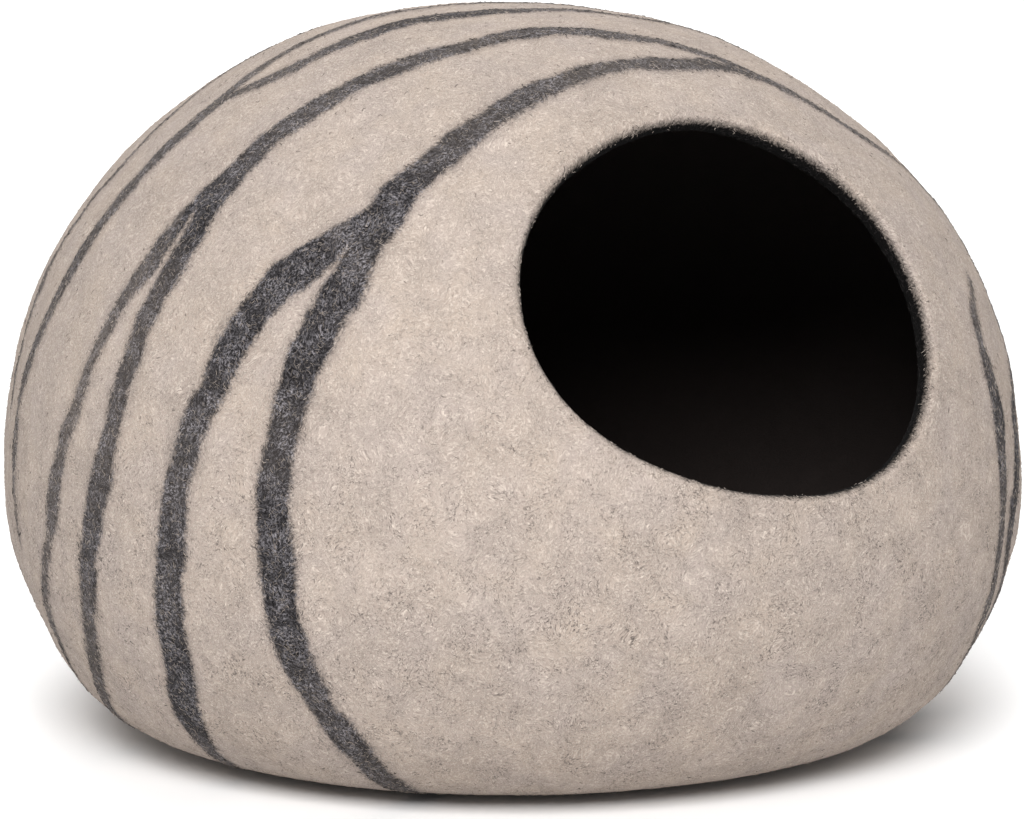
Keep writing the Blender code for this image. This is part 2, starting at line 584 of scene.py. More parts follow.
class Rings:
    """Rings of points, each stitched to the last, with what is measured at each point."""

    def __init__(self):
        self.points = []
        self.normals = []
        self.inside = []
        self.faces = []
        self.corners = []
        self.count = 0
        self.last = None

    def add(self, points, normals, inside, height):
        """Adds a ring, at a height on the map from 0 to 1."""
        ring = (self.count, len(points), height)
        self.points.append(points)
        self.normals.append(normals)
        self.inside.append(np.full(len(points), inside))
        self.count += len(points)
        if self.last:
            self.stitch(self.last, ring)
        self.last = ring

    def stitch(self, one, other):
        """Joins two rings that have as many points, or one twice as many or a lone point."""
        first, many, low = one
        second, count, high = other
        most = max(many, count)
        for step in range(most):
            a, b = (step * many // most, (step + 1) * many // most)
            c, d = (step * count // most, (step + 1) * count // most)
            face = [
                (second + c % count, step / most, high),
                (first + a % many, step / most, low),
                (first + b % many, (step + 1) / most, low),
                (second + d % count, (step + 1) / most, high),
            ]
            kept = []
            for corner in face:
                if corner[0] not in [other_corner[0] for other_corner in kept]:
                    kept.append(corner)
            self.faces.append([corner[0] for corner in kept])
            self.corners.extend(corner[1:] for corner in kept)


def lip_frame(turns):
    """The lip's edge at these turns: its place, the skin's normal and the way over it."""
    angles = rim_angles(turns)
    ways = ways_out(angles, turns)
    edge = skin_points(ways)
    normals = skin_normals(ways)
    over = skin_points(ways_out(angles - NORMAL_STEP, turns)) - edge
    over -= normals * (over * normals).sum(axis=1, keepdims=True)
    return edge, normals, unit(over)


def lip_points(turns, bend, settings, rim=None):
    """Points on the rounded lip and their normals. Bend runs from 0 outside to pi inside."""
    edge, normals, over = rim or lip_frame(turns)
    middle = edge - normals * WALL / 2 - over * settings.lip_depth
    cosine, sine = np.cos(bend)[..., None], np.sin(bend)[..., None]
    points = middle + normals * (WALL / 2) * cosine + over * settings.lip_depth * sine
    facing = normals * settings.lip_depth * cosine + over * (WALL / 2) * sine
    return points, unit(facing)


def lip_length(settings):
    """About how long the way round the lip is, from the skin to the lining."""
    return math.pi * math.sqrt(((WALL / 2) ** 2 + settings.lip_depth**2) / 2)


def wall_start(turns, settings):
    """The angle from the axis at which the skin meets the lip."""
    angles = rim_angles(turns)
    return angles + settings.lip_depth / skin_reach(ways_out(angles, turns))


def ring_turns(count):
    """Turns evenly round the axis."""
    return np.arange(count) * 2 * math.pi / count


def skin_ring(share, count, settings):
    """The directions of a ring at a share of the way from the lip to the far end."""
    turns = ring_turns(count)
    start = wall_start(turns, settings)
    eased = share * (1 - RIM_CROWDING + RIM_CROWDING * share)
    return ways_out(start + (math.pi - start) * eased, turns)


def sparser(count, ways):
    """Half as many columns where a ring's points would lie too close."""
    points = skin_points(ways)
    spacing = np.linalg.norm(points - np.roll(points, 1, axis=0), axis=1).mean()
    if spacing < CLOSEST_COLUMNS and count // 2 >= LEAST_COLUMNS:
        return count // 2
    return count


def outer_rings(settings):
    """(share, ways) of the skin's rings from the lip to near the far end."""
    count = COLUMNS
    rings = []
    for row in range(OUTER_ROWS):
        share = row / OUTER_ROWS
        ways = skin_ring(share, count, settings)
        thinner = sparser(count, ways) if share > OUTER_EVEN else count
        if thinner != count:
            count = thinner
            ways = skin_ring(share, count, settings)
        rings.append((share, ways))
    return rings


def inner_rings(settings):
    """(share, ways) of the lining's rings from the lip to near the far end."""
    count = COLUMNS
    rings = []
    for row in range(INNER_ROWS):
        share = row / INNER_ROWS
        ways = skin_ring(share, count, settings)
        rings.append((share, ways))
        if count > INNER_COLUMNS:
            count //= 2
        elif share > INNER_EVEN:
            count = sparser(count, ways)
    return rings


def shape_wall(settings):
    """All rings of the wall, from the far end outside to the far end inside."""
    rings = Rings()
    length = lip_length(settings)
    limit = settings.dark_from * length / math.pi
    lip_start = lip_points(np.zeros(1), np.zeros(1), settings)[0][0]
    end = skin_points(-OPENING_AXIS[None, :])
    end_normal = skin_normals(-OPENING_AXIS[None, :])
    rings.add(end, end_normal, -INSIDE_RANGE, 0.0)
    for share, ways in reversed(outer_rings(settings)):
        points = skin_points(ways)
        travelled = np.linalg.norm(points[0] - lip_start)
        inside = max(-INSIDE_RANGE, -(travelled + limit) / MM)
        rings.add(points, skin_normals(ways), inside, MAP_SKIN * (1 - share))
    turns = ring_turns(COLUMNS)
    rim = lip_frame(turns)
    for row in range(1, LIP_ROWS):
        bend = math.pi * row / LIP_ROWS
        points, normals = lip_points(turns, np.full(COLUMNS, bend), settings, rim)
        inside = (length * row / LIP_ROWS - limit) / MM
        rings.add(points, normals, inside, MAP_SKIN + MAP_LIP * row / LIP_ROWS)
    start = MAP_SKIN + MAP_LIP
    for share, ways in inner_rings(settings):
        normals = skin_normals(ways)
        inside = min(INSIDE_RANGE, (length - limit) / MM + share * INNER_LENGTH)
        height = start + (1 - start) * share
        rings.add(skin_points(ways) - normals * WALL, -normals, inside, height)
    rings.add(end - end_normal * WALL, -end_normal, INSIDE_RANGE, 1.0)
    return rings


def put_attribute(mesh, name, kind, values):
    """Stores a measure of each point in the mesh."""
    made = mesh.attributes.new(name, kind, "POINT")
    field = "value" if kind == "FLOAT" else "vector"
    made.data.foreach_set(field, np.asarray(values, np.float32).ravel())


def finish_mesh(mesh, corners):
    """Shades a mesh smooth and gives it its map for the bake."""
    layer = mesh.uv_layers.new(name=BAKE_MAP)
    layer.uv.foreach_set("vector", np.asarray(corners, np.float32).ravel())
    mesh.shade_smooth()


def place_piece(mesh):
    """The mesh as an object of the same name, at the origin."""
    piece = bpy.data.objects.new(mesh.name, mesh)
    bpy.context.scene.collection.objects.link(piece)
    return piece


def make_wall(settings):
    """The felt wall with its lip and lining, as one closed piece."""
    rings = shape_wall(settings)
    points = np.vstack(rings.points)
    normals = np.vstack(rings.normals)
    inside = np.concatenate(rings.inside)
    courses = [band_course(points, normals, bands) for bands in BAND_LOTS]
    for course in courses:
        course[inside > 0, 1] = -FAR_OFF / MM
    proud = lumps(points, settings) + raised(band_depth(courses), settings)
    mesh = bpy.data.meshes.new("felt_wall")
    mesh.from_pydata(points + normals * proud[:, None], [], rings.faces)
    finish_mesh(mesh, rings.corners)
    for name, course in zip(COURSE_NAMES, courses):
        put_attribute(mesh, name, "FLOAT_VECTOR", course)
    put_attribute(mesh, INSIDE_NAME, "FLOAT", inside)
    return place_piece(mesh)


# Loose fibres on the felt.


def curly_paths(rng, count, settings):
    """Flat curved paths round their own middles: two columns for each node."""
    heading = rng.uniform(0, 2 * math.pi, count)
    turning = rng.normal(0, settings.curl, count)
    length = rng.uniform(settings.shortest, settings.longest, count)
    share = (np.arange(FIBRE_NODES - 1) + 0.5) / (FIBRE_NODES - 1) - 0.5
    bend = heading[:, None] + turning[:, None] * share
    bend += rng.normal(0, settings.curl / 4, bend.shape)
    steps = np.stack([np.cos(bend), np.sin(bend)], axis=2)
    steps *= (length / (FIBRE_NODES - 1))[:, None, None]
    nodes = np.concatenate([np.zeros((count, 1, 2)), steps.cumsum(axis=1)], axis=1)
    return nodes - nodes.mean(axis=1, keepdims=True)


def rise_off(rng, count, settings):
    """How high each node stands off the felt: most fibres lie down, a few have a free end."""
    share = np.linspace(0, 1, FIBRE_NODES)
    arch = np.sin(math.pi * share) * rng.uniform(*ARCH_SHARES, (count, 1)) * settings.lying
    free = share**2 * rng.uniform(*FREE_SHARES, (count, 1)) * settings.standing
    loose = rng.random((count, 1)) < settings.loose_share
    return np.where(loose, free, arch) - settings.rooted


def on_skin(ways, wall):
    """Which of these directions meet the skin outside the lip and the foot."""
    turns = np.arctan2(ways @ OPENING_UP, ways @ OPENING_RIGHT)
    from_axis = np.arccos(np.clip(ways @ OPENING_AXIS, -1.0, 1.0))
    outside = from_axis > wall_start(turns, wall)
    return outside & (skin_points(ways)[:, 2] > wall.bare_foot)


def spread_ways(rng, count, wall):
    """Directions that spread points evenly over the skin."""
    kept = []
    found = 0
    while found < count:
        ways = unit(rng.normal(size=(count, 3)))
        slant = (skin_normals(ways) * ways).sum(axis=1)
        density = skin_reach(ways) ** 2 / np.maximum(slant, LEAST_SLANT)
        fair = rng.random(count) < density / density.max()
        kept.append(ways[fair & on_skin(ways, wall)])
        found += len(kept[-1])
    return np.vstack(kept)[:count]


def band_ways(rng, count, wall):
    """Directions that spread points over the bands and just past their edges."""
    lines = [band_line(rows) for rows in (*MAIN_BANDS, *BRANCH_BANDS)]
    middles = np.vstack([line for line, _ in lines])
    half = np.concatenate([half for _, half in lines])
    ahead = np.vstack([np.gradient(line, axis=0) for line, _ in lines])
    area = np.linalg.norm(ahead, axis=1) * half
    picked = rng.choice(len(area), 2 * count, p=area / area.sum())
    side = unit(np.cross(skin_normals(ways_to(middles[picked])), ahead[picked]))
    off = side * (half[picked] + PAST_BAND)[:, None] * rng.uniform(-1, 1, (2 * count, 1))
    onwards = ahead[picked] * rng.uniform(-0.5, 0.5, (2 * count, 1))
    ways = ways_to(middles[picked] + off + onwards)
    return ways[on_skin(ways, wall)][:count]


def fibre_faces(rings):
    """The corners of one fibre's faces: a tip, rings of three corners, and a tip."""
    faces = []
    for corner in range(FIBRE_SIDES):
        after = (corner + 1) % FIBRE_SIDES
        faces.append([0, 1 + after, 1 + corner])
        for low in range(1, 1 + (rings - 1) * FIBRE_SIDES, FIBRE_SIDES):
            high = low + FIBRE_SIDES
            faces.append([low + corner, low + after, high + after, high + corner])
        end = 1 + (rings - 1) * FIBRE_SIDES
        faces.append([end + corner, end + after, end + FIBRE_SIDES])
    return faces


def fibre_mesh(name, paths, normals, radius, tones):
    """Many thin closed fibres as one mesh, with the nodes of them all given in one list."""
    count = len(tones)
    paths = paths.reshape(count, FIBRE_NODES, 3)
    normals = normals.reshape(paths.shape)
    ahead = unit(np.gradient(paths, axis=1))
    side = unit(np.cross(ahead, normals))
    up = np.cross(side, ahead)
    inner = slice(1, -1)
    rings = []
    for angle in ring_turns(FIBRE_SIDES) + math.pi / 2:
        way = side[:, inner] * math.cos(angle) + up[:, inner] * math.sin(angle)
        rings.append(paths[:, inner] + way * radius[:, None, None])
    rings = np.stack(rings, axis=2).reshape(count, -1, 3)
    points = np.concatenate([paths[:, :1], rings, paths[:, -1:]], axis=1)
    each = points.shape[1]
    faces = fibre_faces(FIBRE_NODES - 2)
    sizes = np.tile([len(face) for face in faces], count)
    flat = np.concatenate(faces)
    mesh = bpy.data.meshes.new(name)
    mesh.vertices.add(count * each)
    mesh.vertices.foreach_set("co", points.astype(np.float32).ravel())
    mesh.loops.add(count * len(flat))
    corners = (flat + np.arange(count)[:, None] * each).ravel()
    mesh.loops.foreach_set("vertex_index", corners.astype(np.int32))
    mesh.polygons.add(len(sizes))
    mesh.polygons.foreach_set("loop_start", (sizes.cumsum() - sizes).astype(np.int32))
    mesh.update(calc_edges=True)
    heights = np.repeat(np.linspace(*RING_HEIGHTS, FIBRE_NODES - 2), FIBRE_SIDES)
    along = np.concatenate([[0.0], heights, [1.0]])
    unrolled = np.stack([np.repeat(tones, len(flat)), np.tile(along[flat], count)], axis=1)
    finish_mesh(mesh, MAP_MARGIN + (1 - 2 * MAP_MARGIN) * unrolled)
    put_attribute(mesh, TONE_NAME, "FLOAT", np.repeat(tones, each))
    return place_piece(mesh)


def tones_of(wool, grey):
    """Tones between the darkest and the palest of a wool, at shares of the way."""
    darkest, palest = wool
    return darkest + (palest - darkest) * grey


def skin_tones(rng, depth, settings):
    """A tone for each fibre, from how far outside the bands it lies, in millimetres."""
    count = len(depth)
    grey = rng.random(count)
    odd = rng.random(count) < settings.odd_share
    pale = np.where(odd, tones_of(ODD_TONES, grey), tones_of(PALE_TONES, grey))
    middle = rng.random(count) < smoothstep(*BAND_MIDDLE, -depth)
    dark = np.where(middle, tones_of(BAND_TONES, grey), tones_of(BAND_EDGE_TONES, grey))
    return np.where(depth + rng.normal(0, settings.stray, count) < 0, dark, pale)


def skin_fibres(name, seed, spread, settings, wall):
    """Fibres that lie on the skin: each takes its tone from the wool under it."""
    rng = np.random.default_rng(seed)
    ways = spread(rng, settings.fibres, wall)
    count = len(ways)
    base = skin_points(ways)
    normals = skin_normals(ways)
    first, second = tangents(normals)
    nodes = curly_paths(rng, count, settings)
    places = base[:, None] + first[:, None] * nodes[..., :1] + second[:, None] * nodes[..., 1:]
    node_ways = ways_to(places.reshape(-1, 3))
    node_normals = skin_normals(node_ways)
    skin = skin_points(node_ways)
    depth = band_depth([band_course(base, normals, bands) for bands in BAND_LOTS])
    rise = rise_off(rng, count, settings) + raised(depth, wall)[:, None]
    paths = skin + node_normals * (lumps(skin, wall) + rise.ravel())[:, None]
    tones = skin_tones(rng, depth, settings)
    radius = rng.uniform(*THICKNESS_SHARES, count) * settings.thickness / 2
    return fibre_mesh(name, paths, node_normals, radius, tones)


def lip_fibres(name, seed, settings, wall):
    """Fibres that stand out round the lip, pale outside and dark inside."""
    rng = np.random.default_rng(seed)
    count = settings.lip_fibres
    turns = rng.uniform(0, 2 * math.pi, count)
    bends = rng.uniform(*LIP_BENDS, count)
    nodes = curly_paths(rng, count, settings) * settings.lip_share
    node_turns = turns[:, None] + nodes[..., 0] / oval_radius(turns)[:, None]
    node_bends = bends[:, None] + nodes[..., 1] / (lip_length(wall) / math.pi)
    points, normals = lip_points(node_turns.ravel(), node_bends.ravel(), wall)
    rise = rise_off(rng, count, settings)
    paths = points + normals * (lumps(points, wall) + rise.ravel())[:, None]
    dark = bends + rng.normal(0, LINING_STRAY, count) > wall.dark_from
    grey = rng.random(count)
    tones = np.where(dark, tones_of(LINING_TONES, grey), tones_of(LIP_TONES, grey))
    radius = rng.uniform(*THICKNESS_SHARES, count) * settings.thickness / 2
    return fibre_mesh(name, paths, normals, radius, tones)


# Materials.

MATH = "ShaderNodeMath"
VECTORS = "ShaderNodeVectorMath"
NOISE = "ShaderNodeTexNoise"
RANGE = "ShaderNodeMapRange"
MIX = "ShaderNodeMix"
SPLIT = "ShaderNodeSeparateXYZ"
ATTRIBUTE = "ShaderNodeAttribute"
COLOURS = {"data_type": "RGBA"}

# The felt's patterns: their real sizes, and the ranges over which they change.
RUB_SIZE = 14 * MM
GRAIN_SIZE = 0.9 * MM
PATCH_SIZE = 22 * MM
CLUSTER_SIZE = 9 * MM
FUZZ_SIZE = 1.1 * MM
SMALL_CURLS = 0.62  # the size of the small curls over that of the wide ones
MOST_NOISE = (0.3, 0.7)  # nearly all values of a noise lie between these
FEWER_HAIRS = (0.1, 0.2)  # metres up, between which the grey hairs get fewer
HALO = 4.0  # millimetres out from a band, over which its hairs in the pale wool thin out
BAND_JOIN = 2.0  # millimetres over which two bands that meet run together
BAND_EDGE = (-1.3, 1.0)  # millimetres outside, from all dark to none
SPARSE_BAND = (2.5, 7.0)  # half widths in millimetres, from thin wool to thick
LINING_EDGE = (-2.2, 1.4)  # millimetres inside, from all pale to all dark
FAR_IN = (12.0, 36.0)  # millimetres inside, over which the lining changes to that far in
BUMP_HEIGHT = 0.4 * MM
CURL_RELIEF = 0.8  # how far the curls stand up, over the fuzz
THICK_RELIEF = 1.5  # and the thicker places


def add_node(tree, kind, inputs=(), output=0, **settings):
    """Adds a node, with its settings and its inputs, and gives the output that is asked for.

    Inputs are given in the order of the sockets, or by the name or number of each socket. Map
    Range takes its value, the range that is read and the range that is made of it. A colour
    Mix takes its share in socket 0 and its two colours in 6 and 7.
    """
    node = tree.nodes.new(kind)
    for name, value in settings.items():
        setattr(node, name, value)
    pairs = inputs.items() if isinstance(inputs, dict) else enumerate(inputs)
    for socket, value in pairs:
        if isinstance(value, bpy.types.NodeSocket):
            tree.links.new(value, node.inputs[socket])
        else:
            node.inputs[socket].default_value = value
    return node.outputs[output]


def new_material(name):
    """A material, a function that adds nodes to it, and its shader."""
    material = bpy.data.materials.new(name)
    material.use_nodes = True
    tree = material.node_tree
    return material, partial(add_node, tree), tree.nodes["Principled BSDF"]


def curls(node, place, size):
    """How far a place lies off three lots of curly lines, each from 0 to about 0.5."""
    noise_inputs = {"Vector": place, "Scale": 1 / size, "Detail": 1.0, "Distortion": 1.1}
    waves = node(NOISE, noise_inputs, 1)
    centred = node(VECTORS, (waves, (0.5, 0.5, 0.5)), operation="SUBTRACT")
    return node(SPLIT, (node(VECTORS, (centred,), operation="ABSOLUTE"),)).node.outputs


def millimetres_out(node, name):
    """Millimetres outside the nearest band of one lot, below zero in it, and its half width."""
    course = node(ATTRIBUTE, output="Vector", attribute_name=name)
    side, edge, _ = node(SPLIT, (course,)).node.outputs
    away = node(MATH, (side,), operation="ABSOLUTE")
    return node(MATH, (away, edge), operation="SUBTRACT"), edge


# What the felt's patterns give at a place on it.
Felt = namedtuple("Felt", "place curl hair warm cloud thicker cluster wander dense fuzz stray")


def rubbed_place(node, colours):
    """Places on the felt, pulled into short streaks as hands rub the wool this way and that."""
    place = node("ShaderNodeTexCoord", output="Object")
    rubbed = node(NOISE, {"Vector": place, "Scale": 1 / RUB_SIZE, "Detail": 1.0}, 1)
    pull = (rubbed, (colours.rubbed,) * 3, place)
    return node(VECTORS, pull, operation="MULTIPLY_ADD")


def fibres_at(node, place, colours):
    """How far a place is covered by the felt's curls, and by single hairs of another wool.

    Wool fibres are 0.03 mm thick. Their curls are drawn about 0.4 mm thick, so they show.
    """
    one, two, three = curls(node, place, colours.curl_size)
    four, five, six = curls(node, place, colours.curl_size * SMALL_CURLS)
    nearest = node(MATH, (one, two), operation="MINIMUM")
    wide_curl = node(RANGE, (nearest, 0.005, 0.045, 1.0, 0.0))
    nearest = node(MATH, (four, five), operation="MINIMUM")
    small_curl = node(RANGE, (nearest, 0.005, 0.05, 1.0, 0.0))
    curl = node(MATH, (wide_curl, small_curl), operation="MAXIMUM")
    nearest = node(MATH, (three, six), operation="MINIMUM")
    hair = node(RANGE, (nearest, 0.0, 0.06, 1.0, 0.0))
    # Each dips under and comes up again, so it is broken up by a fine grain.
    grain_inputs = {"Vector": place, "Scale": 1 / GRAIN_SIZE, "Detail": 2.0, "Roughness": 0.6}
    grain = node(NOISE, grain_inputs)
    curl = node(MATH, (curl, node(RANGE, (grain, 0.4, 0.6, 0.1, 1.0))), operation="MULTIPLY")
    hair = node(MATH, (hair, node(RANGE, (grain, 0.4, 0.6))), operation="MULTIPLY")
    return curl, hair


def felt_pattern(node, colours):
    """The patterns that the pale wool, the bands and the lining share."""
    place = rubbed_place(node, colours)
    patch_inputs = {"Vector": place, "Scale": 1 / PATCH_SIZE, "Detail": 2.0}
    patches = node(SPLIT, (node(NOISE, patch_inputs, 1),)).node.outputs
    cluster_inputs = {"Vector": place, "Scale": 1 / CLUSTER_SIZE, "Detail": 3.0}
    cluster_inputs |= {"Roughness": 0.6, "Distortion": 0.4}
    clusters = node(SPLIT, (node(NOISE, cluster_inputs, 1),)).node.outputs
    fuzz_inputs = {"Vector": place, "Scale": 1 / FUZZ_SIZE, "Detail": 3.0, "Roughness": 0.65}
    fuzz = node(NOISE, fuzz_inputs)
    stray = node(RANGE, (fuzz, *MOST_NOISE, -colours.stray, colours.stray), clamp=False)
    return Felt(place, *fibres_at(node, place, colours), *patches, *clusters, fuzz, stray)


def pale_wool(node, felt, colours):
    """The pale wool's colour: soft patches of two greys, thin places, painted shade between its
    curls, and grey hairs.
    """
    warm = node(RANGE, (felt.warm, 0.36, 0.64))
    greys = {0: warm, 6: linear(colours.pale_grey), 7: linear(colours.pale_warm)}
    pale = node(MIX, greys, 2, **COLOURS)
    # Painted shade: the pale wool is darkened between its curls, where shade falls between them.
    # Its thin places, in random patches, are darker too.
    thin = node(RANGE, (felt.cloud, 0.42, 0.72, 0.0, 0.4))
    between = node(RANGE, (felt.curl, 0.0, 0.4, 0.4, 0.0))
    thin_and_gap_shade = node(MATH, (between, thin), operation="ADD")
    pale = node(MIX, {0: thin_and_gap_shade, 6: pale, 7: linear(colours.pale_thin_and_gap_shade)}, 2, **COLOURS)
    pale = node(MIX, {0: felt.curl, 6: pale, 7: linear(colours.pale_fibre)}, 2, **COLOURS)
    # The hairs lie in clusters. There are more of them low on the cave than on its crown.
    clustered = node(RANGE, (felt.cluster, 0.38, 0.62, 0.15, 1.0))
    fading = node(RANGE, (node(SPLIT, (felt.place,), 2), *FEWER_HAIRS, 1.0, 0.45))
    speckled = node(MATH, (clustered, fading), operation="MULTIPLY")
    speckled = node(MATH, (felt.hair, speckled), operation="MULTIPLY")
    return node(MIX, {0: speckled, 6: pale, 7: linear(colours.speckle)}, 2, **COLOURS)


def banded_wool(node, felt, colours):
    """The skin's colour: the pale wool, and near-black bands with grey curls on them."""
    (main, thick), (branch, branch_thick) = [millimetres_out(node, name) for name in COURSE_NAMES]
    out = node(MATH, (main, branch, BAND_JOIN), operation="SMOOTH_MIN")
    for uneven, most in ((felt.thicker, colours.wander), (felt.wander, colours.waver)):
        shift = node(RANGE, (uneven, *MOST_NOISE, -most, most), clamp=False)
        out = node(MATH, (out, shift), operation="ADD")
    out = node(MATH, (out, felt.stray), operation="ADD")

    halo = node(RANGE, (out, 0.0, HALO, 0.5, 0.0))
    hairy = node(RANGE, (felt.hair, 0.0, 1.0, 0.45, 1.0))
    halo = node(MATH, (halo, hairy), operation="MULTIPLY")
    pale = {0: halo, 6: pale_wool(node, felt, colours), 7: linear(colours.speckle)}
    pale = node(MIX, pale, 2, **COLOURS)

    fewer = node(RANGE, (felt.dense, 0.4, 0.62, 0.3, 1.0))
    curl = node(MATH, (felt.curl, fewer), operation="MULTIPLY")
    blacks = {0: curl, 6: linear(colours.band_gap), 7: linear(colours.band_curl)}
    band = node(MIX, blacks, 2, **COLOURS)
    # Where a band is thin, so is its wool, and the pale wool shows through.
    thick = node(MATH, (thick, branch_thick), operation="MAXIMUM")
    cover = node(RANGE, (thick, *SPARSE_BAND, 0.68, 0.98))
    in_band = node(RANGE, (out, *BAND_EDGE, 1.0, 0.0))
    in_band = node(MATH, (in_band, cover), operation="MULTIPLY")
    return node(MIX, {0: in_band, 6: pale, 7: band}, 2, **COLOURS)


def lined_wool(node, felt, colours):
    """The whole wall's colour: the dark lining starts part of the way round the lip."""
    inside = node(ATTRIBUTE, output="Fac", attribute_name=INSIDE_NAME)
    inside = node(MATH, (inside, felt.stray), operation="SUBTRACT")
    # Painted shade: near the lip the lining is near-black, darker than its dark wool, as shade
    # falls into the opening. Further in it turns to the wool's own dark grey.
    blacks = {0: felt.curl, 6: linear(colours.lining_gap_shade), 7: linear(colours.lining_curl_shade)}
    lining = node(MIX, blacks, 2, **COLOURS)
    far_in = node(RANGE, (inside, *FAR_IN))
    lining = node(MIX, {0: far_in, 6: lining, 7: linear(colours.lining_deep)}, 2, **COLOURS)
    in_lining = node(RANGE, (inside, *LINING_EDGE))
    skin = banded_wool(node, felt, colours)
    return node(MIX, {0: in_lining, 6: skin, 7: lining}, 2, **COLOURS)


def felt_relief(node, felt):
    """The felt's fine relief: its curls stand up, and so do its thicker places."""
    relief = node(MATH, (felt.curl, CURL_RELIEF, felt.fuzz), operation="MULTIPLY_ADD")
    relief = node(MATH, (felt.thicker, THICK_RELIEF, relief), operation="MULTIPLY_ADD")
    return node("ShaderNodeBump", {"Height": relief, "Distance": BUMP_HEIGHT, "Strength": 0.7})


def felt_material(colours):
    """Wet-felted wool: carded layers, wetted, soaped and rubbed until the fibres lock.

    The eye sees no weave, but a matt tangle of short curls, a few greyer fibres carded into
    the pale wool, and dark wool that was laid on in bands, whose fibres stray over the edge.
    """
    material, node, shader = new_material("wet_felted_wool")
    felt = felt_pattern(node, colours)
    links = material.node_tree.links
    links.new(lined_wool(node, felt, colours), shader.inputs["Base Color"])
    links.new(felt_relief(node, felt), shader.inputs["Normal"])
    shader.inputs["Roughness"].default_value = 0.95
    shader.inputs["Specular IOR Level"].default_value = 0.08
    shader.inputs["Sheen Weight"].default_value = 0.015
    shader.inputs["Sheen Roughness"].default_value = 0.6
    return material


def fibre_material(colours):
    """Loose wool fibres, teased out of the felt by the last rubbing.

    Each is one tone of undyed wool, matt and without a gleam of its own.
    """
    material, node, shader = new_material("loose_wool_fibre")
    tone = node(ATTRIBUTE, output="Fac", attribute_name=TONE_NAME)
    ends = {0: tone, 6: linear(colours.fibre_dark), 7: linear(colours.fibre_pale)}
    colour = node(MIX, ends, 2, **COLOURS)
    material.node_tree.links.new(colour, shader.inputs["Base Color"])
    shader.inputs["Roughness"].default_value = 0.9
    shader.inputs["Specular IOR Level"].default_value = 0.2
    return material


def sweep_material(settings):
    """Matt white paint, rolled on: even and without gloss."""
    material, _, shader = new_material("matt_studio_paint")
    shader.inputs["Base Color"].default_value = linear(settings.floor_colour)
    shader.inputs["Roughness"].default_value = 1.0
    shader.inputs["Specular IOR Level"].default_value = 0.0
    return material


# The stage.

KEY_PLACE = (-1.12, -1.56, 1.6)
KEY_AIM = (0.0, 0.0, 0.14)
KEY_SIZE = (1.2, 1.2)
FLOOR_LIGHT_BEHIND = 4.6  # how far behind the cave, as the camera sees it
FLOOR_LIGHT_HEIGHT = 3.0
FLOOR_LIGHT_SIZE = (6.0, 8.0)
SENSOR_WIDTH = 36.0


def make_floor(settings):
    """The pale studio floor."""
    bpy.ops.object.select_all(action="DESELECT")
    bpy.ops.mesh.primitive_plane_add(
        size=settings.floor_size, location=(0, 0, -settings.floor_gap)
    )
    floor = bpy.context.active_object
    floor.name = "studio_floor"
    floor.data.materials.append(sweep_material(settings))


def soft_light(name, place, aim, size, power):
    """A soft box of this width and length."""
    light = bpy.data.lights.new(name, "AREA")
    light.shape = "RECTANGLE"
    light.size, light.size_y = size
    light.energy = power
    lamp = bpy.data.objects.new(name, light)
    lamp.location = place
    lamp.rotation_euler = (Vector(aim) - Vector(place)).to_track_quat("-Z", "Y").to_euler()
    bpy.context.scene.collection.objects.link(lamp)


def make_camera(settings):
    """The camera, at the photograph's angle."""
    turn, lift = settings.camera_turn, settings.camera_lift
    level = Vector((math.sin(turn), -math.cos(turn), 0.0))
    left = Vector((-math.cos(turn), -math.sin(turn), 0.0))
    back = level * math.cos(lift) + Vector((0, 0, math.sin(lift)))
    data = bpy.data.cameras.new("camera")
    data.sensor_width = SENSOR_WIDTH
    data.lens = settings.camera_lens
    camera = bpy.data.objects.new("camera", data)
    camera.location = Vector((0, 0, settings.camera_level)) + back * settings.camera_distance
    aim = Vector((0, 0, settings.camera_aim)) + left * settings.camera_aim_left
    camera.rotation_euler = (aim - camera.location).to_track_quat("-Z", "Y").to_euler()
    bpy.context.scene.collection.objects.link(camera)
    bpy.context.scene.camera = camera


def light_studio(settings):
    """Even white light all round, a soft box in front, and one over the floor behind."""
    world = bpy.data.worlds.new("studio")
    world.use_nodes = True
    background = world.node_tree.nodes["Background"]
    background.inputs["Color"].default_value = (1, 1, 1, 1)
    background.inputs["Strength"].default_value = settings.world_light
    bpy.context.scene.world = world
    soft_light("key", KEY_PLACE, KEY_AIM, KEY_SIZE, settings.key_light)
    behind = Vector((-math.sin(settings.camera_turn), math.cos(settings.camera_turn), 0.0))
    place = behind * FLOOR_LIGHT_BEHIND + Vector((0, 0, FLOOR_LIGHT_HEIGHT))
    below = place - Vector((0, 0, 1))
    soft_light("floor_light", place, below, FLOOR_LIGHT_SIZE, settings.floor_light)


# Settings that a user would change.


def length(name, description, default):
    """A length property, in metres."""
    return bpy.props.FloatProperty(
        name=name, description=description, default=default, unit="LENGTH", precision=5
    )


def angle(name, description, default):
    """An angle property, given here in degrees."""
    return bpy.props.FloatProperty(
        name=name, description=description, default=math.radians(default), subtype="ANGLE"
    )


def number(name, description, default):
    """A plain number property."""
    return bpy.props.FloatProperty(name=name, description=description, default=default)


def whole_number(name, description, default):
    """A count."""
    return bpy.props.IntProperty(name=name, description=description, default=default)


def hex_colour(name, description, default):
    """A colour as an sRGB hex value."""
    return bpy.props.StringProperty(name=name, description=description, default=default)


